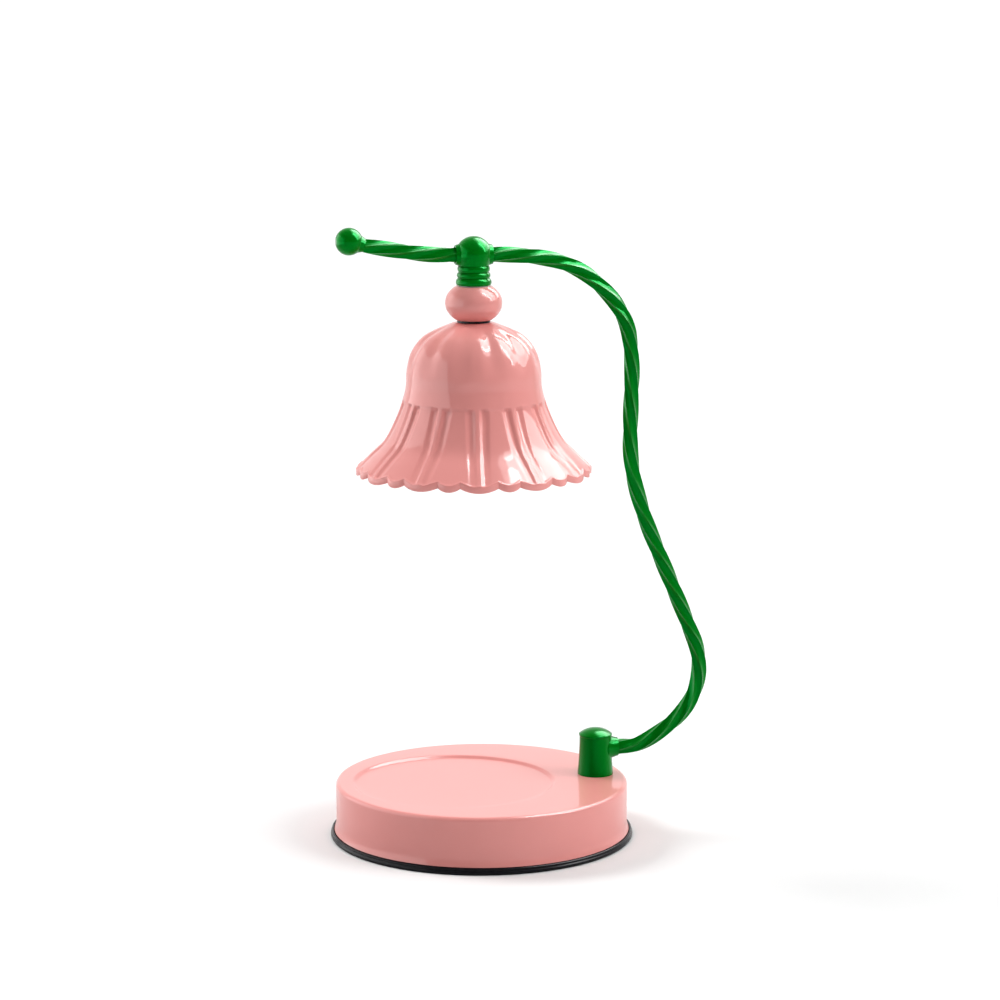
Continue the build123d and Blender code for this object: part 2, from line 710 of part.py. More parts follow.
def shade():
    """Bell of one wall thickness, from a flat top through a dome and a waist to the flared rim."""
    top = Spline(*SHADE_LINE)
    inner_points = []
    for k in range(15):
        place = k / 14
        tangent = top % place
        inward = Vector(tangent.Y, -tangent.X, 0) * SHADE_WALL
        inner_points.append(top @ place + inward)
    under_top = SHADE_TOP - SHADE_WALL
    inner_points[0] = Vector(9.0, under_top, 0)
    inner = Spline(*inner_points)
    bell = turned(
        HEAD_X,
        Line((0, SHADE_TOP), top @ 0),
        top,
        Line(top @ 1, inner @ 1),
        inner,
        Line(inner @ 0, (0, under_top)),
        Line((0, under_top), (0, SHADE_TOP)),
    )
    rim_z = SHADE_LINE[-1][1]
    prism = Pos(HEAD_X, 0, rim_z - 10) * extrude(petal_outline(), SHADE_TOP - rim_z + 20)
    return (bell & prism) - cylinder(HEAD_X, 0, under_top - 1, SHADE_TOP + 1, SHADE_BORE_R)


def shade_washer():
    under_top = SHADE_TOP - SHADE_WALL
    bottom = under_top - SHADE_WASHER_HEIGHT
    return ring(HEAD_X, 0, bottom, under_top, SHADE_WASHER_R, WASHER_BORE_R)


def shade_nut():
    top = SHADE_TOP - SHADE_WALL - SHADE_WASHER_HEIGHT
    bottom = PLATE_BOTTOM + BRACKET_SHEET
    return hexagon(HEAD_X, bottom, top, NUT_FLATS) - cylinder(HEAD_X, 0, bottom - 1, top + 1, THREAD_R)


def bracket_nut():
    bottom = PLATE_BOTTOM - BRACKET_NUT_HEIGHT
    nut = hexagon(HEAD_X, bottom, PLATE_BOTTOM, NUT_FLATS)
    return nut - cylinder(HEAD_X, 0, bottom - 1, PLATE_BOTTOM + 1, THREAD_R)


def holder_bracket():
    """Stirrup clamped between two nuts, with a leg down each side of the lampholder."""
    outside = HOLDER_FLAT + BRACKET_SHEET
    plate_top = PLATE_BOTTOM + BRACKET_SHEET
    plate = box_between((-outside, -PLATE_HALF, PLATE_BOTTOM), (outside, PLATE_HALF, plate_top))
    for side in (-1, 1):
        near, far = sorted((side * HOLDER_FLAT, side * outside))
        plate += box_between((near, -LEG_HALF, LEG_BOTTOM), (far, LEG_HALF, plate_top))
    plate -= cylinder(0, 0, PLATE_BOTTOM - 1, plate_top + 1, THREAD_R)
    plate -= rod_along_x(-outside - 1, outside + 1, HOLDER_SCREW_Z, HOLDER_SCREW_R + 0.1)
    return Pos(HEAD_X, 0, 0) * plate


def lampholder():
    """Ceramic body with flats for the stirrup, a pocket for the pin heads and two bayonet slots."""
    body = cylinder(0, 0, HOLDER_BOTTOM, HOLDER_TOP, HOLDER_R)
    low = (-HOLDER_FLAT, -HOLDER_R, HOLDER_BOTTOM)
    body &= box_between(low, (HOLDER_FLAT, HOLDER_R, HOLDER_TOP))
    pocket_floor = HOLDER_BOTTOM + HOLDER_FLOOR
    body -= cylinder(0, 0, pocket_floor, HOLDER_POCKET_TOP, HOLDER_POCKET_R)
    for start in (0, 180):
        sweep_line = CenterArc((0, 0), PIN_CIRCLE_R, start - TWIST, TWIST)
        track = SlotArc(sweep_line, 2 * PIN_NECK_R + PIN_SLOT_PLAY)
        body -= Pos(0, 0, HOLDER_BOTTOM - 1) * extrude(track, HOLDER_FLOOR + 2)
        turn = math.radians(start - TWIST)
        x, y = PIN_CIRCLE_R * math.cos(turn), PIN_CIRCLE_R * math.sin(turn)
        body -= cylinder(x, y, HOLDER_BOTTOM - 1, pocket_floor + 1, PIN_ENTRY_R)
    body -= cylinder(0, 0, HOLDER_POCKET_TOP - 1, HOLDER_TOP + 1, WIRE_WAY_R)
    screw_hole = rod_along_x(HOLDER_SCREW_START, HOLDER_R + 1, HOLDER_SCREW_Z, HOLDER_SCREW_R)
    body -= screw_hole + Rot(0, 0, 180) * screw_hole
    return Pos(HEAD_X, 0, 0) * body


def holder_contacts():
    """Bent spring strips above the pin heads."""
    contacts = []
    for side in (-1, 1):
        bend = CONTACT_BOTTOM + CONTACT_SHEET
        strip = box_between((CONTACT_START, -3, CONTACT_BOTTOM), (CONTACT_END, 3, bend))
        strip += box_between((CONTACT_RISER, -2.5, bend), (CONTACT_END, 2.5, HOLDER_POCKET_TOP))
        contacts.append(Pos(HEAD_X, 0, 0) * Rot(0, 0, 90 * (1 - side)) * strip)
    return Compound(contacts)


def holder_screws():
    seat = HOLDER_FLAT + BRACKET_SHEET
    top = seat + HOLDER_SCREW_HEAD
    head = rod_along_x(seat, top, HOLDER_SCREW_Z, HOLDER_SCREW_HEAD_R)
    shank = rod_along_x(HOLDER_SCREW_START, seat, HOLDER_SCREW_Z, HOLDER_SCREW_R)
    slot = Pos(top - 0.1, 0, HOLDER_SCREW_Z) * Box(1.0, SLOT_WIDTH, 6)
    screw = head + shank - slot
    return Compound([Pos(HEAD_X, 0, 0) * Rot(0, 0, side) * screw for side in (0, 180)])


def head_lead():
    return cylinder(HEAD_X, 0, HOLDER_POCKET_TOP, FLANGE_TOP, LEAD_R)


# Bulb


def reflector_curve():
    """Outside of the reflector's glass, from its rim up to its neck."""
    return Spline(*REFLECTOR_LINE)


def bulb_reflector():
    """Glass reflector with a rim that holds the front glass."""
    outer = reflector_curve()
    inner_points = []
    for k in range(9):
        place = k / 8
        tangent = outer % place
        inner_points.append(outer @ place + Vector(-tangent.Y, tangent.X, 0) * GLASS_WALL)
    inner_points[0] = Vector(BULB_R - GLASS_WALL, REFLECTOR_RIM, 0)
    inner_points[-1] = Vector(CAP_R - GLASS_WALL, REFLECTOR_NECK, 0)
    inner = Spline(*inner_points)
    return turned(
        HEAD_X,
        Line((BULB_R, BULB_FACE), outer @ 0),
        outer,
        Line(outer @ 1, inner @ 1),
        inner,
        Line(inner @ 0, (BULB_R - GLASS_WALL, BULB_FACE)),
        Line((BULB_R - GLASS_WALL, BULB_FACE), (BULB_R, BULB_FACE)),
    )


def bulb_lens():
    bottom = BULB_FACE + LENS_INSET
    return cylinder(HEAD_X, 0, bottom, bottom + LENS_THICKNESS, BULB_R - GLASS_WALL)


def bulb_base():
    """Ceramic cap with a plug that fills the reflector's neck."""
    cap = turned(
        HEAD_X,
        *polyline_edges(
            (0, PLUG_BOTTOM),
            (PLUG_R, PLUG_BOTTOM),
            (PLUG_R, REFLECTOR_NECK),
            (CAP_R, REFLECTOR_NECK),
            (CAP_R, CAP_SHOULDER),
            (CAP_R - CAP_CHAMFER, CAP_TOP),
            (0, CAP_TOP),
            (0, PLUG_BOTTOM),
        ),
    )
    for side in (-1, 1):
        pin_x = HEAD_X + side * PIN_CIRCLE_R
        cap -= cylinder(pin_x, 0, CAP_TOP - PIN_DEPTH, CAP_TOP + 1, PIN_NECK_R)
    return cap - cylinder(HEAD_X, 0, PLUG_BOTTOM - 1, PLUG_BOTTOM + 2, STEM_R)


def bulb_pins():
    pins = []
    for side in (-1, 1):
        x = HEAD_X + side * PIN_CIRCLE_R
        shoulder = CAP_TOP + PIN_NECK
        neck = cylinder(x, 0, CAP_TOP - PIN_DEPTH, shoulder, PIN_NECK_R)
        pins.append(neck + cylinder(x, 0, shoulder, shoulder + PIN_HEAD, PIN_HEAD_R))
    return Compound(pins)


def bulb_capsule():
    """Halogen capsule on a pinched stem."""
    body = cylinder(HEAD_X, 0, CAPSULE_BOTTOM, CAPSULE_TOP, CAPSULE_R)
    tip = Pos(HEAD_X, 0, CAPSULE_BOTTOM) * Sphere(CAPSULE_R)
    taper = Cone(CAPSULE_R, STEM_R, STEM_BOTTOM - CAPSULE_TOP)
    neck = Pos(HEAD_X, 0, (CAPSULE_TOP + STEM_BOTTOM) / 2) * taper
    return body + tip + neck + cylinder(HEAD_X, 0, STEM_BOTTOM, PLUG_BOTTOM + 2, STEM_R)


NODES = [
    base_shell,
    base_ring,
    bottom_cover,
    foot_pad,
    ballast_plate,
    ballast_rivets,
    cover_lugs,
    cover_screws,
    cord_gland,
    terminal_block,
    terminal_screws,
    post,
    post_nipple,
    post_washer,
    post_nut,
    arm_grub_screw,
    arm_tube,
    arm_lead,
    hub,
    hub_grub_screws,
    hub_collar,
    finial_rod,
    finial_ball,
    neck_nipple,
    friction_washer,
    bead,
    neck_washer,
    shade,
    shade_washer,
    shade_nut,
    holder_bracket,
    bracket_nut,
    lampholder,
    holder_contacts,
    holder_screws,
    head_lead,
    bulb_reflector,
    bulb_lens,
    bulb_base,
    bulb_pins,
    bulb_capsule,
]

if __name__ == "__main__":
    os.makedirs("parts", exist_ok=True)
    for make in NODES:
        export_step(make(), f"parts/{make.__name__}.step")
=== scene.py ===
import json
import math

import bpy
import numpy as np
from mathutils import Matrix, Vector


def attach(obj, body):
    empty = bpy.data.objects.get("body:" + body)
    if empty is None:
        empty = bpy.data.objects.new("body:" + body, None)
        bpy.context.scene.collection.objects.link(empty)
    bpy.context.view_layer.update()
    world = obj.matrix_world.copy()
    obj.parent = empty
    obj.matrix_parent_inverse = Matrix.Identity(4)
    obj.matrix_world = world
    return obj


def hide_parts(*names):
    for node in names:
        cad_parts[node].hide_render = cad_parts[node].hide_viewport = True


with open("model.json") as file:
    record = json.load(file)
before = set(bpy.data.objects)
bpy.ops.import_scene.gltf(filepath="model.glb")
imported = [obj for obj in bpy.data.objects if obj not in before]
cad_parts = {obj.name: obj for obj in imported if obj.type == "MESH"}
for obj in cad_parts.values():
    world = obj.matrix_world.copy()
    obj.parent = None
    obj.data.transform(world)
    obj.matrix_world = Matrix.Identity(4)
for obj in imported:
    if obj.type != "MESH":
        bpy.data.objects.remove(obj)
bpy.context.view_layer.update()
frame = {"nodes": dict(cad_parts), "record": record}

# Candle warmer lamp. Lengths are in millimetres, as in the CAD model, and metres(...) turns them into
# Blender's unit. Lights and the camera are placed in metres where a comment or docstring says so.
# +Z is up, and the arm lies in the XZ plane with its post on the +X side.

MM = 0.001
SHARP_ANGLE = math.radians(50)

# Stage. The floor's half side is in metres. The studio's levels run from behind the object to the camera.
FLOOR_HALF = 40.0
FLOOR_LOW = (0.74, 0.745, 0.745)
FLOOR_HIGH = (0.75, 0.755, 0.755)
STUDIO_LEVELS = [(0.0, 1.05), (0.5, 0.22), (1.0, 0.04)]

# Softboxes, seen in reflections only: name, turn and rise in degrees, distance and size in metres, radiance
SOFTBOXES = [
    ("left_panel", -86, 12, 1.0, (1.9, 1.0), 1.9),
    ("right_panel", 114, 47, 1.0, (1.2, 0.95), 5.5),
    ("right_strip", 80, 45, 0.95, (0.12, 0.85), 12.0),
    ("top_panel", 120, 58, 1.2, (1.1, 0.9), 4.0),
]

# Broad lights without highlights: name, turn and rise in degrees, strength, spread in degrees
SOFT_SUNS = [
    ("left_sun", -118, 40, 1.6, 26),
    ("right_sun", 80, 34, 1.45, 40),
    ("front_sun", 0, 20, 0.1, 60),
    ("top_sun", 0, 80, 0.95, 70),
]
LAMP_AIM = Vector((0, 0, 0.15))

# Camera
CAMERA_PLACE = (-310.2, -1566.7, 455.7)
CAMERA_TILT = math.radians(80.02)
CAMERA_HEADING = math.radians(-11.54)
CAMERA_LENS = 114.93
CAMERA_SENSOR = 36.0
CAMERA_CLIP = (0.05, 120.0)  # metres

# Base
BASE_R = 75.0
BASE_TOP = 28.5
SHEET = 1.2
EDGE_R = 2.0
FLARE_R = 76.0
FLARE_TOP = 8.0
FLARE_CURVE = 1.8
FOOT_TOP = 3.5
RING_INNER_R = 73.2
RING_GROOVE = [(75.95, 2.75), (75.85, FOOT_TOP)]
LOWER_BEAD = (76.8, 1.1)
LOWER_BEAD_R = 1.1
UPPER_BEAD = (76.75, 2.7)
UPPER_BEAD_R = 0.68
COVER_R = 75.0
COVER_BOTTOM = 1.4
COVER_TOP = 2.4
SEAT_X = -14.6
SEAT_FLOOR_R = 49.6
SEAT_RIM_R = 52.4
SEAT_DEPTH = 1.3
UNDERSIDE_R = 62.0
LATHE_STEPS = 288

# Arm and finial rod
ARM_ROUTE = [
    (62.5, 42.2), (72.0, 42.2), (85.0, 42.2), (110.3, 60.2), (117.4, 85.0), (106.8, 111.6), (95.8, 137.6),
    (84.7, 164.0), (77.6, 190.4), (77.7, 217.5), (78.7, 246.3), (74.3, 269.7), (51.8, 292.4), (24.0, 299.6),
    (0.5, 299.6),
]
ROD_ROUTE = [(-7.3, 299.6), (-18.0, 299.6), (-31.4, 300.5), (-47.6, 303.2), (-58.0, 304.9), (-59.3, 305.25)]
CREST_R = 4.1
ROD_CREST_R = 4.0
RIDGES = 6
RIDGE_OFFSETS = (-30, -24, -18, -12, -8, -5, -2.5, -1, 1, 2.5, 5, 8, 12, 18, 24)
FLUTE_SAG = 0.11
RIDGE_FALL = (0.55, 1.15)
TWIST_PITCH = 126.6
BAR_STEP = 1.0
ARM_PHASE = 34.6
ROD_PHASE = 30.0

# Shade
HEAD_X = -3.8
SHADE_TOP = 265.7
SHADE_WALL = 2.2
SHADE_BORE_R = 5.1
SHADE_LINE = [
    (9.6, 265.7), (17.6, 262.7), (25.4, 258.6), (31.2, 251.4), (33.9, 242.0), (34.5, 233.0), (36.3, 225.5),
    (40.2, 215.4), (45.4, 205.8), (52.6, 198.6), (61.6, 189.6),
]
PETALS = 12
PETAL_PHASE = 21.6
PETAL_R = 59.8
SMALL_PETAL_R = 59.5
NOTCH_R = 57.8
PETAL_HALF = 9.4
STEP_Z = 226.4
SKIRT_BOTTOM_Z = 189.6
DOME_RIB_DEPTH = 1.0
DOME_RIB_START = (236, 253)
DOME_RIB_END = (259, 265.3)
SKIRT_STEP = (STEP_Z - 1.0, STEP_Z + 0.3)
SKIRT_DEPTH = (0.6, 0.9)
SKIRT_RIB = (0.7, 2.8)
SKIRT_SHELF = (3.8, 6.4)
SHELF_SHARE = 0.7

# Columns over half a petal as (start, stop, count) in degrees, and rows from the top to the rim
PETAL_COLUMNS = ((0, 1.3, 3), (1.3, 5.4, 7), (5.4, 9.4, 5), (9.4, 15, 7))
SHADE_ROWS = ((0, 0.45, 42), (0.455, 0.56, 26), (0.57, 1, 58))
INNER_ROWS = (0.985, 0.03, 44)
PROFILE_POINTS = 400

# Rim of the shade: the bead's radius, the inner corner's bevel and the band below the bead
RIM_EDGE = 0.75
RIM_EDGE_HEIGHT = 0.5625
RIM_INSET = 0.4
RIM_BEVEL = 0.12
RIM_DROP = 0.5
COLLAR_R = 8.0
BORE_MOUTH = (5.4, 0.3)


def metres(points):
    """Points in millimetres as an array in metres."""
    return np.asarray(points, float) * MM


def smoothstep(low, high, value):
    """0 below low, 1 above high, and a smooth rise between."""
    share = np.clip((value - low) / (high - low), 0, 1)
    return share * share * (3 - 2 * share)


# Materials. Grains are in cycles per metre and heights in millimetres.

CLOUD_GRAIN = 28
PEEL_GRAIN = 420
PEEL_HEIGHT = 0.003
RUBBER_GLOSS = 0.18


def shader(name, roughness, metallic=0.0, coat=0.0, coat_roughness=0.05):
    """A material with a Principled shader, returned with its nodes and links."""
    material = bpy.data.materials.new(name)
    material.use_nodes = True
    nodes = material.node_tree.nodes
    principled = nodes["Principled BSDF"]
    principled.inputs["Roughness"].default_value = roughness
    principled.inputs["Metallic"].default_value = metallic
    principled.inputs["Coat Weight"].default_value = coat
    principled.inputs["Coat Roughness"].default_value = coat_roughness
    return material, nodes, material.node_tree.links, principled


def object_noise(nodes, links, scale, detail=3.0, stretch=(1, 1, 1)):
    """Noise in the object's own coordinates, with scale in cycles per metre."""
    place = nodes.new("ShaderNodeTexCoord")
    mapping = nodes.new("ShaderNodeMapping")
    mapping.inputs["Scale"].default_value = stretch
    noise = nodes.new("ShaderNodeTexNoise")
    noise.inputs["Scale"].default_value = scale
    noise.inputs["Detail"].default_value = detail
    links.new(place.outputs["Object"], mapping.inputs["Vector"])
    links.new(mapping.outputs["Vector"], noise.inputs["Vector"])
    return noise.outputs["Fac"]


def varied_colour(nodes, links, factor, low, high, spread=(0.35, 0.65)):
    """A colour ramp from low to high over the noise's middle range."""
    ramp = nodes.new("ShaderNodeValToRGB")
    ramp.color_ramp.elements[0].position = spread[0]
    ramp.color_ramp.elements[1].position = spread[1]
    ramp.color_ramp.elements[0].color = (*low, 1)
    ramp.color_ramp.elements[1].color = (*high, 1)
    links.new(factor, ramp.inputs["Fac"])
    return ramp.outputs["Color"]


def add_bump(nodes, links, principled, factor, height, sockets=("Normal",)):
    """Surface relief, with its height in millimetres."""
    bump = nodes.new("ShaderNodeBump")
    bump.inputs["Strength"].default_value = 1.0
    bump.inputs["Distance"].default_value = height * MM
    links.new(factor, bump.inputs["Height"])
    for socket in sockets:
        links.new(bump.outputs["Normal"], principled.inputs[socket])


def varied_roughness(nodes, links, principled, factor, low, high):
    """Roughness that follows the noise from low to high."""
    spread = nodes.new("ShaderNodeMapRange")
    spread.inputs["To Min"].default_value = low
    spread.inputs["To Max"].default_value = high
    links.new(factor, spread.inputs["Value"])
    links.new(spread.outputs["Result"], principled.inputs["Roughness"])


def enamel(name, low, high, coat, gloss, gloss_tint, smooth, rough):
    """Glossy baked enamel with a faint orange peel and slight changes of shade.

    Its roughness goes from smooth to rough, and gloss is the specular level below the clear coat.
    """
    material, nodes, links, principled = shader(name, smooth, coat=coat, coat_roughness=0.05)
    principled.inputs["Specular IOR Level"].default_value = gloss
    principled.inputs["Specular Tint"].default_value = (*gloss_tint, 1)
    clouds = object_noise(nodes, links, CLOUD_GRAIN, 2.0)
    links.new(varied_colour(nodes, links, clouds, low, high, (0.1, 0.9)), principled.inputs["Base Color"])
    varied_roughness(nodes, links, principled, clouds, smooth, rough)
    peel = object_noise(nodes, links, PEEL_GRAIN, 1.0)
    add_bump(nodes, links, principled, peel, PEEL_HEIGHT, ("Normal", "Coat Normal"))
    return material


def rubber(name, colour, roughness, grain, height):
    """Dark rubber or foam with a fine grain."""
    material, nodes, links, principled = shader(name, roughness)
    principled.inputs["Specular IOR Level"].default_value = RUBBER_GLOSS
    speck = object_noise(nodes, links, grain, 4.0)
    lighter = tuple(min(1.0, 1.7 * c) for c in colour)
    links.new(varied_colour(nodes, links, speck, colour, lighter), principled.inputs["Base Color"])
    add_bump(nodes, links, principled, speck, height)
    return material


def plated_steel(name, low, high, stretch=(1, 1, 1)):
    """Zinc-plated or brushed metal with soft smears in its colour and gloss."""
    material, nodes, links, principled = shader(name, 0.35, metallic=1.0)
    smear = object_noise(nodes, links, 160, 5.0, stretch)
    links.new(varied_colour(nodes, links, smear, low, high), principled.inputs["Base Color"])
    varied_roughness(nodes, links, principled, smear, 0.25, 0.5)
    add_bump(nodes, links, principled, smear, 0.02)
    return material


def plain_gloss(name, low, high, roughness, grain=120, height=0.015):
    """Ceramic, nylon or cable sleeve: a light body colour with faint mottling."""
    material, nodes, links, principled = shader(name, roughness)
    mottle = object_noise(nodes, links, grain, 4.0)
    links.new(varied_colour(nodes, links, mottle, low, high), principled.inputs["Base Color"])
    add_bump(nodes, links, principled, mottle, height)
    return material


def glass(name, colour, roughness, transmission, metallic=0.0):
    """Clear or silvered glass with faint changes of tint."""
    material, nodes, links, principled = shader(name, roughness, metallic=metallic)
    principled.inputs["Transmission Weight"].default_value = transmission
    principled.inputs["IOR"].default_value = 1.5
    mottle = object_noise(nodes, links, 90, 2.0)
    paler = tuple(min(1.0, 1.05 * c) for c in colour)
    links.new(varied_colour(nodes, links, mottle, colour, paler), principled.inputs["Base Color"])
    return material


MATERIALS = {
    "pink_enamel": enamel(
        "pink_enamel", (0.73, 0.305, 0.285), (0.76, 0.325, 0.305), 0.6, 0.05, (1, 1, 1), 0.29, 0.38
    ),
    "green_enamel": enamel(
        "green_enamel", (0, 0.165, 0.008), (0, 0.185, 0.01), 0.03, 0.5, (0, 1, 0.25), 0.13, 0.22
    ),
    "black_rubber": rubber("black_rubber", (0.010, 0.010, 0.012), 0.24, 500, 0.008),
    "foam_pad": rubber("foam_pad", (0.018, 0.018, 0.02), 0.85, 900, 0.12),
    "zinc_steel": plated_steel("zinc_steel", (0.50, 0.50, 0.50), (0.68, 0.68, 0.67)),
    "cast_iron": plated_steel("cast_iron", (0.05, 0.05, 0.05), (0.10, 0.10, 0.10)),
    "white_plastic": plain_gloss("white_plastic", (0.72, 0.72, 0.69), (0.80, 0.80, 0.78), 0.4),
    "lead_insulation": plain_gloss("lead_insulation", (0.78, 0.78, 0.74), (0.84, 0.84, 0.81), 0.35),
    "ceramic": plain_gloss("ceramic", (0.74, 0.72, 0.66), (0.84, 0.83, 0.78), 0.3),
    "spring_brass": plated_steel("spring_brass", (0.55, 0.38, 0.14), (0.70, 0.52, 0.22), (1, 6, 1)),
    "mirror_glass": glass("mirror_glass", (0.80, 0.80, 0.82), 0.08, 0.15, metallic=0.85),
    "clear_glass": glass("clear_glass", (0.93, 0.95, 0.96), 0.03, 1.0),
}

SLOT_OF = {row["node"]: row["material_slot"] for row in frame["record"]["subparts"]}


def finish_cad_nodes():
    """Gives every CAD node the material of its slot."""
    for name, node in frame["nodes"].items():
        node.data.materials.clear()
        node.data.materials.append(MATERIALS[SLOT_OF[name]])


# Mesh building


def add_piece(name, points, faces, body, replaced):
    """A smooth-shaded mesh from points in millimetres, which stands for one CAD node."""
    mesh = bpy.data.meshes.new(name)
    mesh.from_pydata(metres(points).tolist(), [], faces)
    mesh.validate()
    mesh.shade_smooth()
    mesh.set_sharp_from_angle(angle=SHARP_ANGLE)
    piece = bpy.data.objects.new(name, mesh)
    bpy.context.scene.collection.objects.link(piece)
    mesh.materials.append(MATERIALS[SLOT_OF[replaced]])
    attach(piece, body)
    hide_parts(replaced)
    return piece


def skin(rings, closed=False):
    """Points and quads through equal rings. A closed skin joins its last ring to its first."""
    count = len(rings[0])
    points = np.concatenate(rings)
    pairs = [(k, k + 1) for k in range(len(rings) - 1)]
    if closed:
        pairs.append((len(rings) - 1, 0))
    faces = []
    for a, b in pairs:
        for k in range(count):
            after = (k + 1) % count
            faces.append((a * count + k, a * count + after, b * count + after, b * count + k))
    return points, faces


def add_fan(points, faces, ring, centre, flip=False):
    """Closes one ring with triangles about a centre point."""
    count = len(ring)
    tip = len(points)
    points = np.vstack([points, [centre]])
    for k in range(count):
        triangle = (ring[k], ring[(k + 1) % count], tip)
        faces.append(triangle[::-1] if flip else triangle)
    return points, faces


def circle(x, radius, z, count):
    turn = np.linspace(0, 2 * math.pi, count, endpoint=False)
    return np.stack([x + radius * np.cos(turn), radius * np.sin(turn), np.full(count, z)], 1)


def arc(centre, radius, start, stop, count):
    """Points (r, z) on an arc, with angles in degrees from the outward direction."""
    turn = np.radians(np.linspace(start, stop, count))
    return [(centre[0] + radius * math.cos(a), centre[1] + radius * math.sin(a)) for a in turn]


# Base


def build_base_shell():
    """Deep-drawn drum: a pressed seat with soft edges, a rounded rim, a flared foot and an even wall."""
    count = LATHE_STEPS
    rings = []
    floor_z = BASE_TOP - SEAT_DEPTH
    for radius in (12, 24, 36, 46):
        rings.append(circle(SEAT_X, radius, floor_z, count))
    for radius in np.linspace(SEAT_FLOOR_R, SEAT_RIM_R, 13):
        rise = smoothstep(SEAT_FLOOR_R, SEAT_RIM_R, radius)
        rings.append(circle(SEAT_X, radius, floor_z + SEAT_DEPTH * rise, count))
    rim_r = BASE_R - EDGE_R
    for share in (0.08, 0.25, 0.5, 0.75, 0.92):
        radius = SEAT_RIM_R + (rim_r - SEAT_RIM_R) * share
        rings.append(circle(SEAT_X * (1 - share), radius, BASE_TOP, count))
    outside = arc((rim_r, BASE_TOP - EDGE_R), EDGE_R, 90, 0, 9)
    outside += [(BASE_R, z) for z in (26.0, 22, 17, 12, FLARE_TOP)]
    for share in np.linspace(0.15, 1, 8):
        radius = BASE_R + (FLARE_R - BASE_R) * share**FLARE_CURVE
        outside.append((radius, FLARE_TOP + (FOOT_TOP - FLARE_TOP) * share))
    inner_r = BASE_R - SHEET
    inside = [(FLARE_R - SHEET, FOOT_TOP), (inner_r, FLARE_TOP), (inner_r, BASE_TOP - EDGE_R)]
    inside += [(inner_r - EDGE_R + SHEET, BASE_TOP - SHEET), (UNDERSIDE_R, floor_z - SHEET)]
    for radius, z in outside + inside:
        rings.append(circle(0, radius, z, count))
    points, faces = skin(rings)
    points, faces = add_fan(points, faces, range(count), (SEAT_X, 0, floor_z), flip=True)
    last = (len(rings) - 1) * count
    points, faces = add_fan(points, faces, range(last, last + count), (0, 0, floor_z - SHEET))
    faces = [face[::-1] for face in faces]
    add_piece("base_drum", points, faces, "stand", "base_shell")


def build_foot_ring():
    """Rubber edging: two beads outside, a groove against the drum, and the slot that grips the cover."""
    outline = [(RING_INNER_R, 0.0), *arc(LOWER_BEAD, LOWER_BEAD_R, -90, 52, 13)]
    outline += arc(UPPER_BEAD, UPPER_BEAD_R, -35, 165, 15)
    outline += [*RING_GROOVE, (RING_INNER_R, FOOT_TOP), (RING_INNER_R, COVER_TOP)]
    outline += [(COVER_R, COVER_TOP), (COVER_R, COVER_BOTTOM), (RING_INNER_R, COVER_BOTTOM)]
    points, faces = skin([circle(0, radius, z, LATHE_STEPS) for radius, z in outline], closed=True)
    add_piece("foot_edging", points, faces, "stand", "base_ring")


# Arm and finial rod


def spline_path(route, step):
    """Points evenly spaced along the smooth NURBS line that the route's corners control."""
    curve = bpy.data.curves.new("route", "CURVE")
    curve.dimensions = "3D"
    curve.resolution_u = 24
    spline = curve.splines.new("NURBS")
    spline.points.add(len(route) - 1)
    for point, (x, z) in zip(spline.points, route):
        point.co = (x, 0, z, 1)
    spline.order_u = 3
    spline.use_endpoint_u = True
    holder = bpy.data.objects.new("route", curve)
    line = bpy.data.meshes.new_from_object(holder)
    corners = np.array([v.co for v in line.vertices], float)
    bpy.data.objects.remove(holder)
    bpy.data.curves.remove(curve)
    bpy.data.meshes.remove(line)
    runs = np.linalg.norm(np.diff(corners, axis=0), axis=1)
    along = np.concatenate([[0], np.cumsum(runs)])
    marks = np.linspace(0, along[-1], int(along[-1] / step) + 1)
    return marks, np.stack([np.interp(marks, along, corners[:, k]) for k in range(3)], 1)


def flute_section(crest):
    """The bar's section as (angle, radius): six narrow ridges with hollow flutes between them."""
    half = math.pi / RIDGES
    chord = crest * math.sin(half)
    sag = FLUTE_SAG * crest
    hollow_r = (chord**2 + sag**2) / (2 * sag)
    centre = crest * math.cos(half) - sag + hollow_r
    section = []
    for ridge in range(RIDGES):
        for offset in np.radians(RIDGE_OFFSETS):
            away = half - abs(offset)
            depth = centre * math.cos(away) - math.sqrt(hollow_r**2 - (centre * math.sin(away)) ** 2)
            rounding = crest * (1 - RIDGE_FALL[0] * abs(offset) ** RIDGE_FALL[1])
            section.append((2 * half * ridge + offset, min(depth, rounding)))
    return section


def build_twisted_bar(name, route, crest, phase, replaced):
    """A bar whose ridges run round it as left-handed helices of one pitch."""
    marks, path = spline_path(route, BAR_STEP)
    section = flute_section(crest)
    tangents = np.gradient(path, axis=0)
    tangents /= np.linalg.norm(tangents, axis=1)[:, None]
    front = np.array([0.0, -1.0, 0.0])
    rings = []
    for mark, centre, tangent in zip(marks, path, tangents):
        side = np.cross(tangent, front)
        twist = math.radians(phase) - 2 * math.pi * mark / TWIST_PITCH
        rings.append(
            [centre + r * (front * math.cos(a + twist) + side * math.sin(a + twist)) for a, r in section]
        )
    points, faces = skin([np.array(ring) for ring in rings])
    count = len(section)
    points, faces = add_fan(points, faces, range(count), path[0], flip=True)
    last = (len(rings) - 1) * count
    points, faces = add_fan(points, faces, range(last, last + count), path[-1])
    add_piece(name, points, faces, "stand", replaced)


# Shade


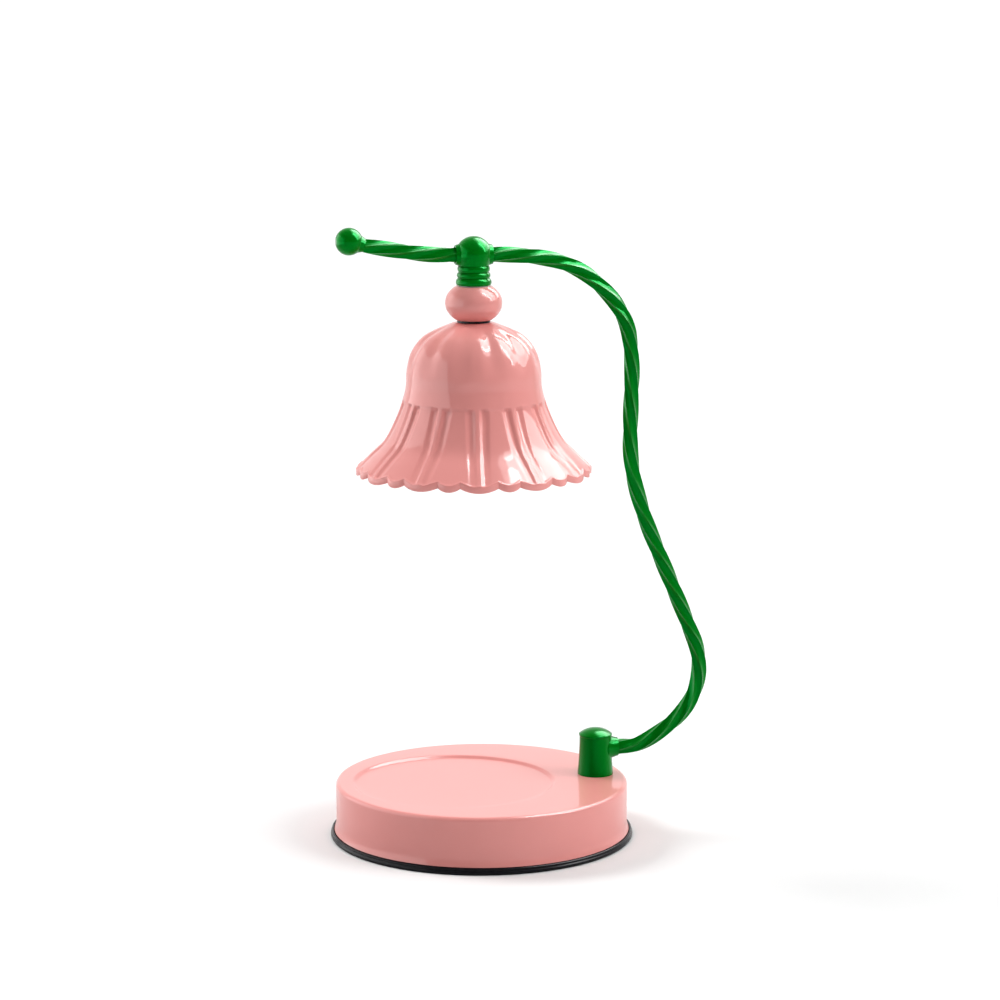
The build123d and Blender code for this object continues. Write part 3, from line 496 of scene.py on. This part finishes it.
def shade_profile(count):
    """The bell's outer line, as a smooth curve of (r, z) from its top to beyond its rim."""
    corners = np.array(SHADE_LINE, float)
    runs = np.linalg.norm(np.diff(corners, axis=0), axis=1)
    along = np.concatenate([[0], np.cumsum(runs)])
    slopes = np.gradient(corners, along, axis=0)
    marks = np.linspace(0, along[-1], count)
    k = np.clip(np.searchsorted(along, marks, side="right") - 1, 0, len(runs) - 1)
    span = runs[k][:, None]
    t = ((marks - along[k]) / runs[k])[:, None]
    start, end = corners[k], corners[k + 1]
    line = (2 * t**3 - 3 * t**2 + 1) * start + (t**3 - 2 * t**2 + t) * span * slopes[k]
    return line + (3 * t**2 - 2 * t**3) * end + (t**3 - t**2) * span * slopes[k + 1]


def lobe_radius(angle, half, peak):
    """Radius of one rounded petal edge, at an angle in degrees from its middle."""
    reach = math.cos(math.radians(half))
    centre = (peak**2 - NOTCH_R**2) / (2 * (peak - NOTCH_R * reach))
    radius = peak - centre
    turn = math.radians(angle)
    return centre * math.cos(turn) + math.sqrt(radius**2 - (centre * math.sin(turn)) ** 2)


def rim_radius(angle):
    """Radius of the scalloped rim, at an angle in degrees from a wide petal's middle, up to 15."""
    if abs(angle) <= PETAL_HALF:
        return lobe_radius(angle, PETAL_HALF, PETAL_R)
    half_step = 180 / PETALS
    return lobe_radius(half_step - abs(angle), half_step - PETAL_HALF, SMALL_PETAL_R)


def flute_depth(angle, radius, z):
    """How far the outer surface lies inside the plain bell."""
    share = (1 - math.cos(math.radians(angle) * PETALS)) / 2
    dome = DOME_RIB_DEPTH * share**1.5 * smoothstep(*DOME_RIB_START, z) * (1 - smoothstep(*DOME_RIB_END, z))
    below = 1 - smoothstep(*SKIRT_STEP, z)
    reach = radius * math.radians(abs(angle))
    rib = smoothstep(*SKIRT_RIB, reach)
    shelf = smoothstep(*SKIRT_SHELF, reach)
    height = (z - SKIRT_BOTTOM_Z) / (STEP_Z - SKIRT_BOTTOM_Z)
    deepest = SKIRT_DEPTH[0] + SKIRT_DEPTH[1] * height
    return dome + below * deepest * (rib - SHELF_SHARE * shelf)


def at_row(line, k):
    """The point (r, z) at row k of a line, between its own points."""
    rows = np.arange(len(line))
    return np.interp(k, rows, line[:, 0]), np.interp(k, rows, line[:, 1])


def outer_wall(line, inward, angle, end):
    """The fluted outside, from the top to where the rim's bead starts."""
    wall = []
    for row in np.concatenate([np.linspace(*part) for part in SHADE_ROWS]):
        k = row * end
        r, z = at_row(line, k)
        n = inward[int(k)]
        depth = flute_depth(angle, r, z)
        wall.append((r + n[0] * depth, z + n[1] * depth))
    return wall


def rim_band(rim, top_z, bottom_z):
    """The rounded bead and the upright band below it."""
    band_top = top_z - RIM_EDGE_HEIGHT
    band = []
    for bend in np.radians((30, 60, 90)):
        r = rim - RIM_EDGE + RIM_EDGE * math.sin(bend)
        band.append((r, band_top + (top_z - band_top) * math.cos(bend)))
    band += [(rim, (band_top + bottom_z) / 2), (rim, bottom_z + 0.35)]
    band += [(rim - RIM_BEVEL, bottom_z + 0.1), (rim - RIM_INSET, bottom_z)]
    return band


def shade_section(line, inner, inward, angle):
    """The bell's closed section as (r, z), at an angle in degrees from a wide petal's middle."""
    rim = rim_radius(angle)
    end = np.interp(rim - RIM_EDGE, line[:, 0], np.arange(len(line)))
    section = outer_wall(line, inward, angle, end)
    bottom_z = np.interp(rim - RIM_INSET, inner[:, 0], inner[:, 1]) - RIM_DROP
    section += rim_band(rim, section[-1][1], bottom_z)
    inner_end = np.interp(rim - RIM_INSET, inner[:, 0], np.arange(len(inner)))
    section += [at_row(inner, row * inner_end) for row in np.linspace(*INNER_ROWS)]
    under = SHADE_TOP - SHADE_WALL
    section += [(COLLAR_R, under), (SHADE_BORE_R, under)]
    section += [(SHADE_BORE_R, SHADE_TOP - BORE_MOUTH[1]), (BORE_MOUTH[0], SHADE_TOP)]
    return section


def build_shade():
    """Bell-flower shade: a ribbed dome, a step, a fluted skirt and a rim cut into wide and narrow petals."""
    sector = [0]
    for start, stop, count in PETAL_COLUMNS:
        sector += np.linspace(start, stop, count + 1)[1:].tolist()
    sector = [-a for a in sector[:0:-1]] + sector[:-1]
    line = shade_profile(PROFILE_POINTS)
    tangent = np.gradient(line, axis=0)
    tangent /= np.linalg.norm(tangent, axis=1)[:, None]
    inward = np.stack([tangent[:, 1], -tangent[:, 0]], 1)
    inner = line + inward * SHADE_WALL
    sections = {angle: shade_section(line, inner, inward, angle) for angle in sector}
    columns = []
    for petal in range(PETALS):
        for angle in sector:
            turn = math.radians(PETAL_PHASE + angle + petal * 360 / PETALS)
            column = [(HEAD_X + r * math.cos(turn), r * math.sin(turn), z) for r, z in sections[angle]]
            columns.append(np.array(column))
    rings = [np.array([column[k] for column in columns]) for k in range(len(columns[0]))]
    points, faces = skin(rings, closed=True)
    faces = [face[::-1] for face in faces]
    add_piece("shade_bell", points, faces, "head", "shade")


# Scene


def build_camera():
    data = bpy.data.cameras.new("camera")
    data.lens = CAMERA_LENS
    data.sensor_width = CAMERA_SENSOR
    data.clip_start, data.clip_end = CAMERA_CLIP
    camera = bpy.data.objects.new("camera", data)
    camera.location = metres(CAMERA_PLACE)
    camera.rotation_euler = (CAMERA_TILT, 0, CAMERA_HEADING)
    bpy.context.scene.collection.objects.link(camera)
    bpy.context.scene.camera = camera


def studio_direction(turn, rise):
    """Unit direction turned by degrees to the right of the camera's side, and raised by degrees."""
    heading = CAMERA_HEADING - math.pi / 2 + math.radians(turn)
    level = math.cos(math.radians(rise))
    return Vector((level * math.cos(heading), level * math.sin(heading), math.sin(math.radians(rise))))


def add_lamp(name, kind, place, target):
    """A light that faces a target, and that the camera itself never sees."""
    data = bpy.data.lights.new(name, kind)
    light = bpy.data.objects.new(name, data)
    light.location = place
    light.rotation_euler = (Vector(target) - Vector(place)).to_track_quat("-Z", "Y").to_euler()
    light.visible_camera = False
    bpy.context.scene.collection.objects.link(light)
    return light


def add_softbox(name, turn, rise, distance, size, radiance):
    """A softbox that faces the object, in metres. It shows in reflections only."""
    light = add_lamp(name, "AREA", LAMP_AIM + studio_direction(turn, rise) * distance, LAMP_AIM)
    light.visible_diffuse = False
    light.data.shape = "RECTANGLE"
    light.data.size, light.data.size_y = size
    light.data.energy = radiance * math.pi * size[0] * size[1]


def add_soft_sun(name, turn, rise, energy, spread):
    """Broad light from one side, without a highlight of its own."""
    light = add_lamp(name, "SUN", studio_direction(turn, rise), (0, 0, 0))
    light.visible_glossy = False
    light.data.energy = energy
    light.data.angle = math.radians(spread)


def build_floor():
    mesh = bpy.data.meshes.new("floor")
    half = FLOOR_HALF
    corners = [(-half, -half, 0), (half, -half, 0), (half, half, 0), (-half, half, 0)]
    mesh.from_pydata(corners, [], [(0, 1, 2, 3)])
    material, nodes, links, principled = shader("floor_paper", 0.9)
    principled.inputs["Specular IOR Level"].default_value = 0.1
    fibre = object_noise(nodes, links, 3, 2.0)
    colour = varied_colour(nodes, links, fibre, FLOOR_LOW, FLOOR_HIGH)
    links.new(colour, principled.inputs["Base Color"])
    mesh.materials.append(material)
    floor = bpy.data.objects.new("floor", mesh)
    bpy.context.scene.collection.objects.link(floor)


def build_world():
    """A studio that is pale behind the object and dark on the camera's side. The camera sees white."""
    world = bpy.data.worlds.new("studio")
    bpy.context.scene.world = world
    world.use_nodes = True
    nodes, links = world.node_tree.nodes, world.node_tree.links
    background = nodes["Background"]
    place = nodes.new("ShaderNodeTexCoord")
    facing = nodes.new("ShaderNodeVectorMath")
    facing.operation = "DOT_PRODUCT"
    facing.inputs[1].default_value = studio_direction(0, 0)
    spread = nodes.new("ShaderNodeMapRange")
    spread.inputs["From Min"].default_value = -1
    ramp = nodes.new("ShaderNodeValToRGB")
    stops = ramp.color_ramp.elements
    stops.new(0.5)
    for stop, (share, level) in zip(stops, STUDIO_LEVELS):
        stop.position = share
        stop.color = (level, level, level, 1)
    links.new(place.outputs["Generated"], facing.inputs[0])
    links.new(facing.outputs["Value"], spread.inputs["Value"])
    links.new(spread.outputs["Result"], ramp.inputs["Fac"])
    rays = nodes.new("ShaderNodeLightPath")
    pick = nodes.new("ShaderNodeMix")
    pick.data_type = "RGBA"
    links.new(rays.outputs["Is Camera Ray"], pick.inputs["Factor"])
    links.new(ramp.outputs["Color"], pick.inputs[6])
    pick.inputs[7].default_value = (1, 1, 1, 1)
    links.new(pick.outputs[2], background.inputs["Color"])


def build_lights():
    for softbox in SOFTBOXES:
        add_softbox(*softbox)
    for sun in SOFT_SUNS:
        add_soft_sun(*sun)


bpy.context.scene.view_settings.view_transform = "Standard"
bpy.context.scene.view_settings.look = "Medium High Contrast"
build_camera()
build_floor()
build_world()
build_lights()
finish_cad_nodes()
build_base_shell()
build_foot_ring()
build_twisted_bar("twisted_arm", ARM_ROUTE, CREST_R, ARM_PHASE, "arm_tube")
build_twisted_bar("twisted_rod", ROD_ROUTE, ROD_CREST_R, ROD_PHASE, "finial_rod")
build_shade()
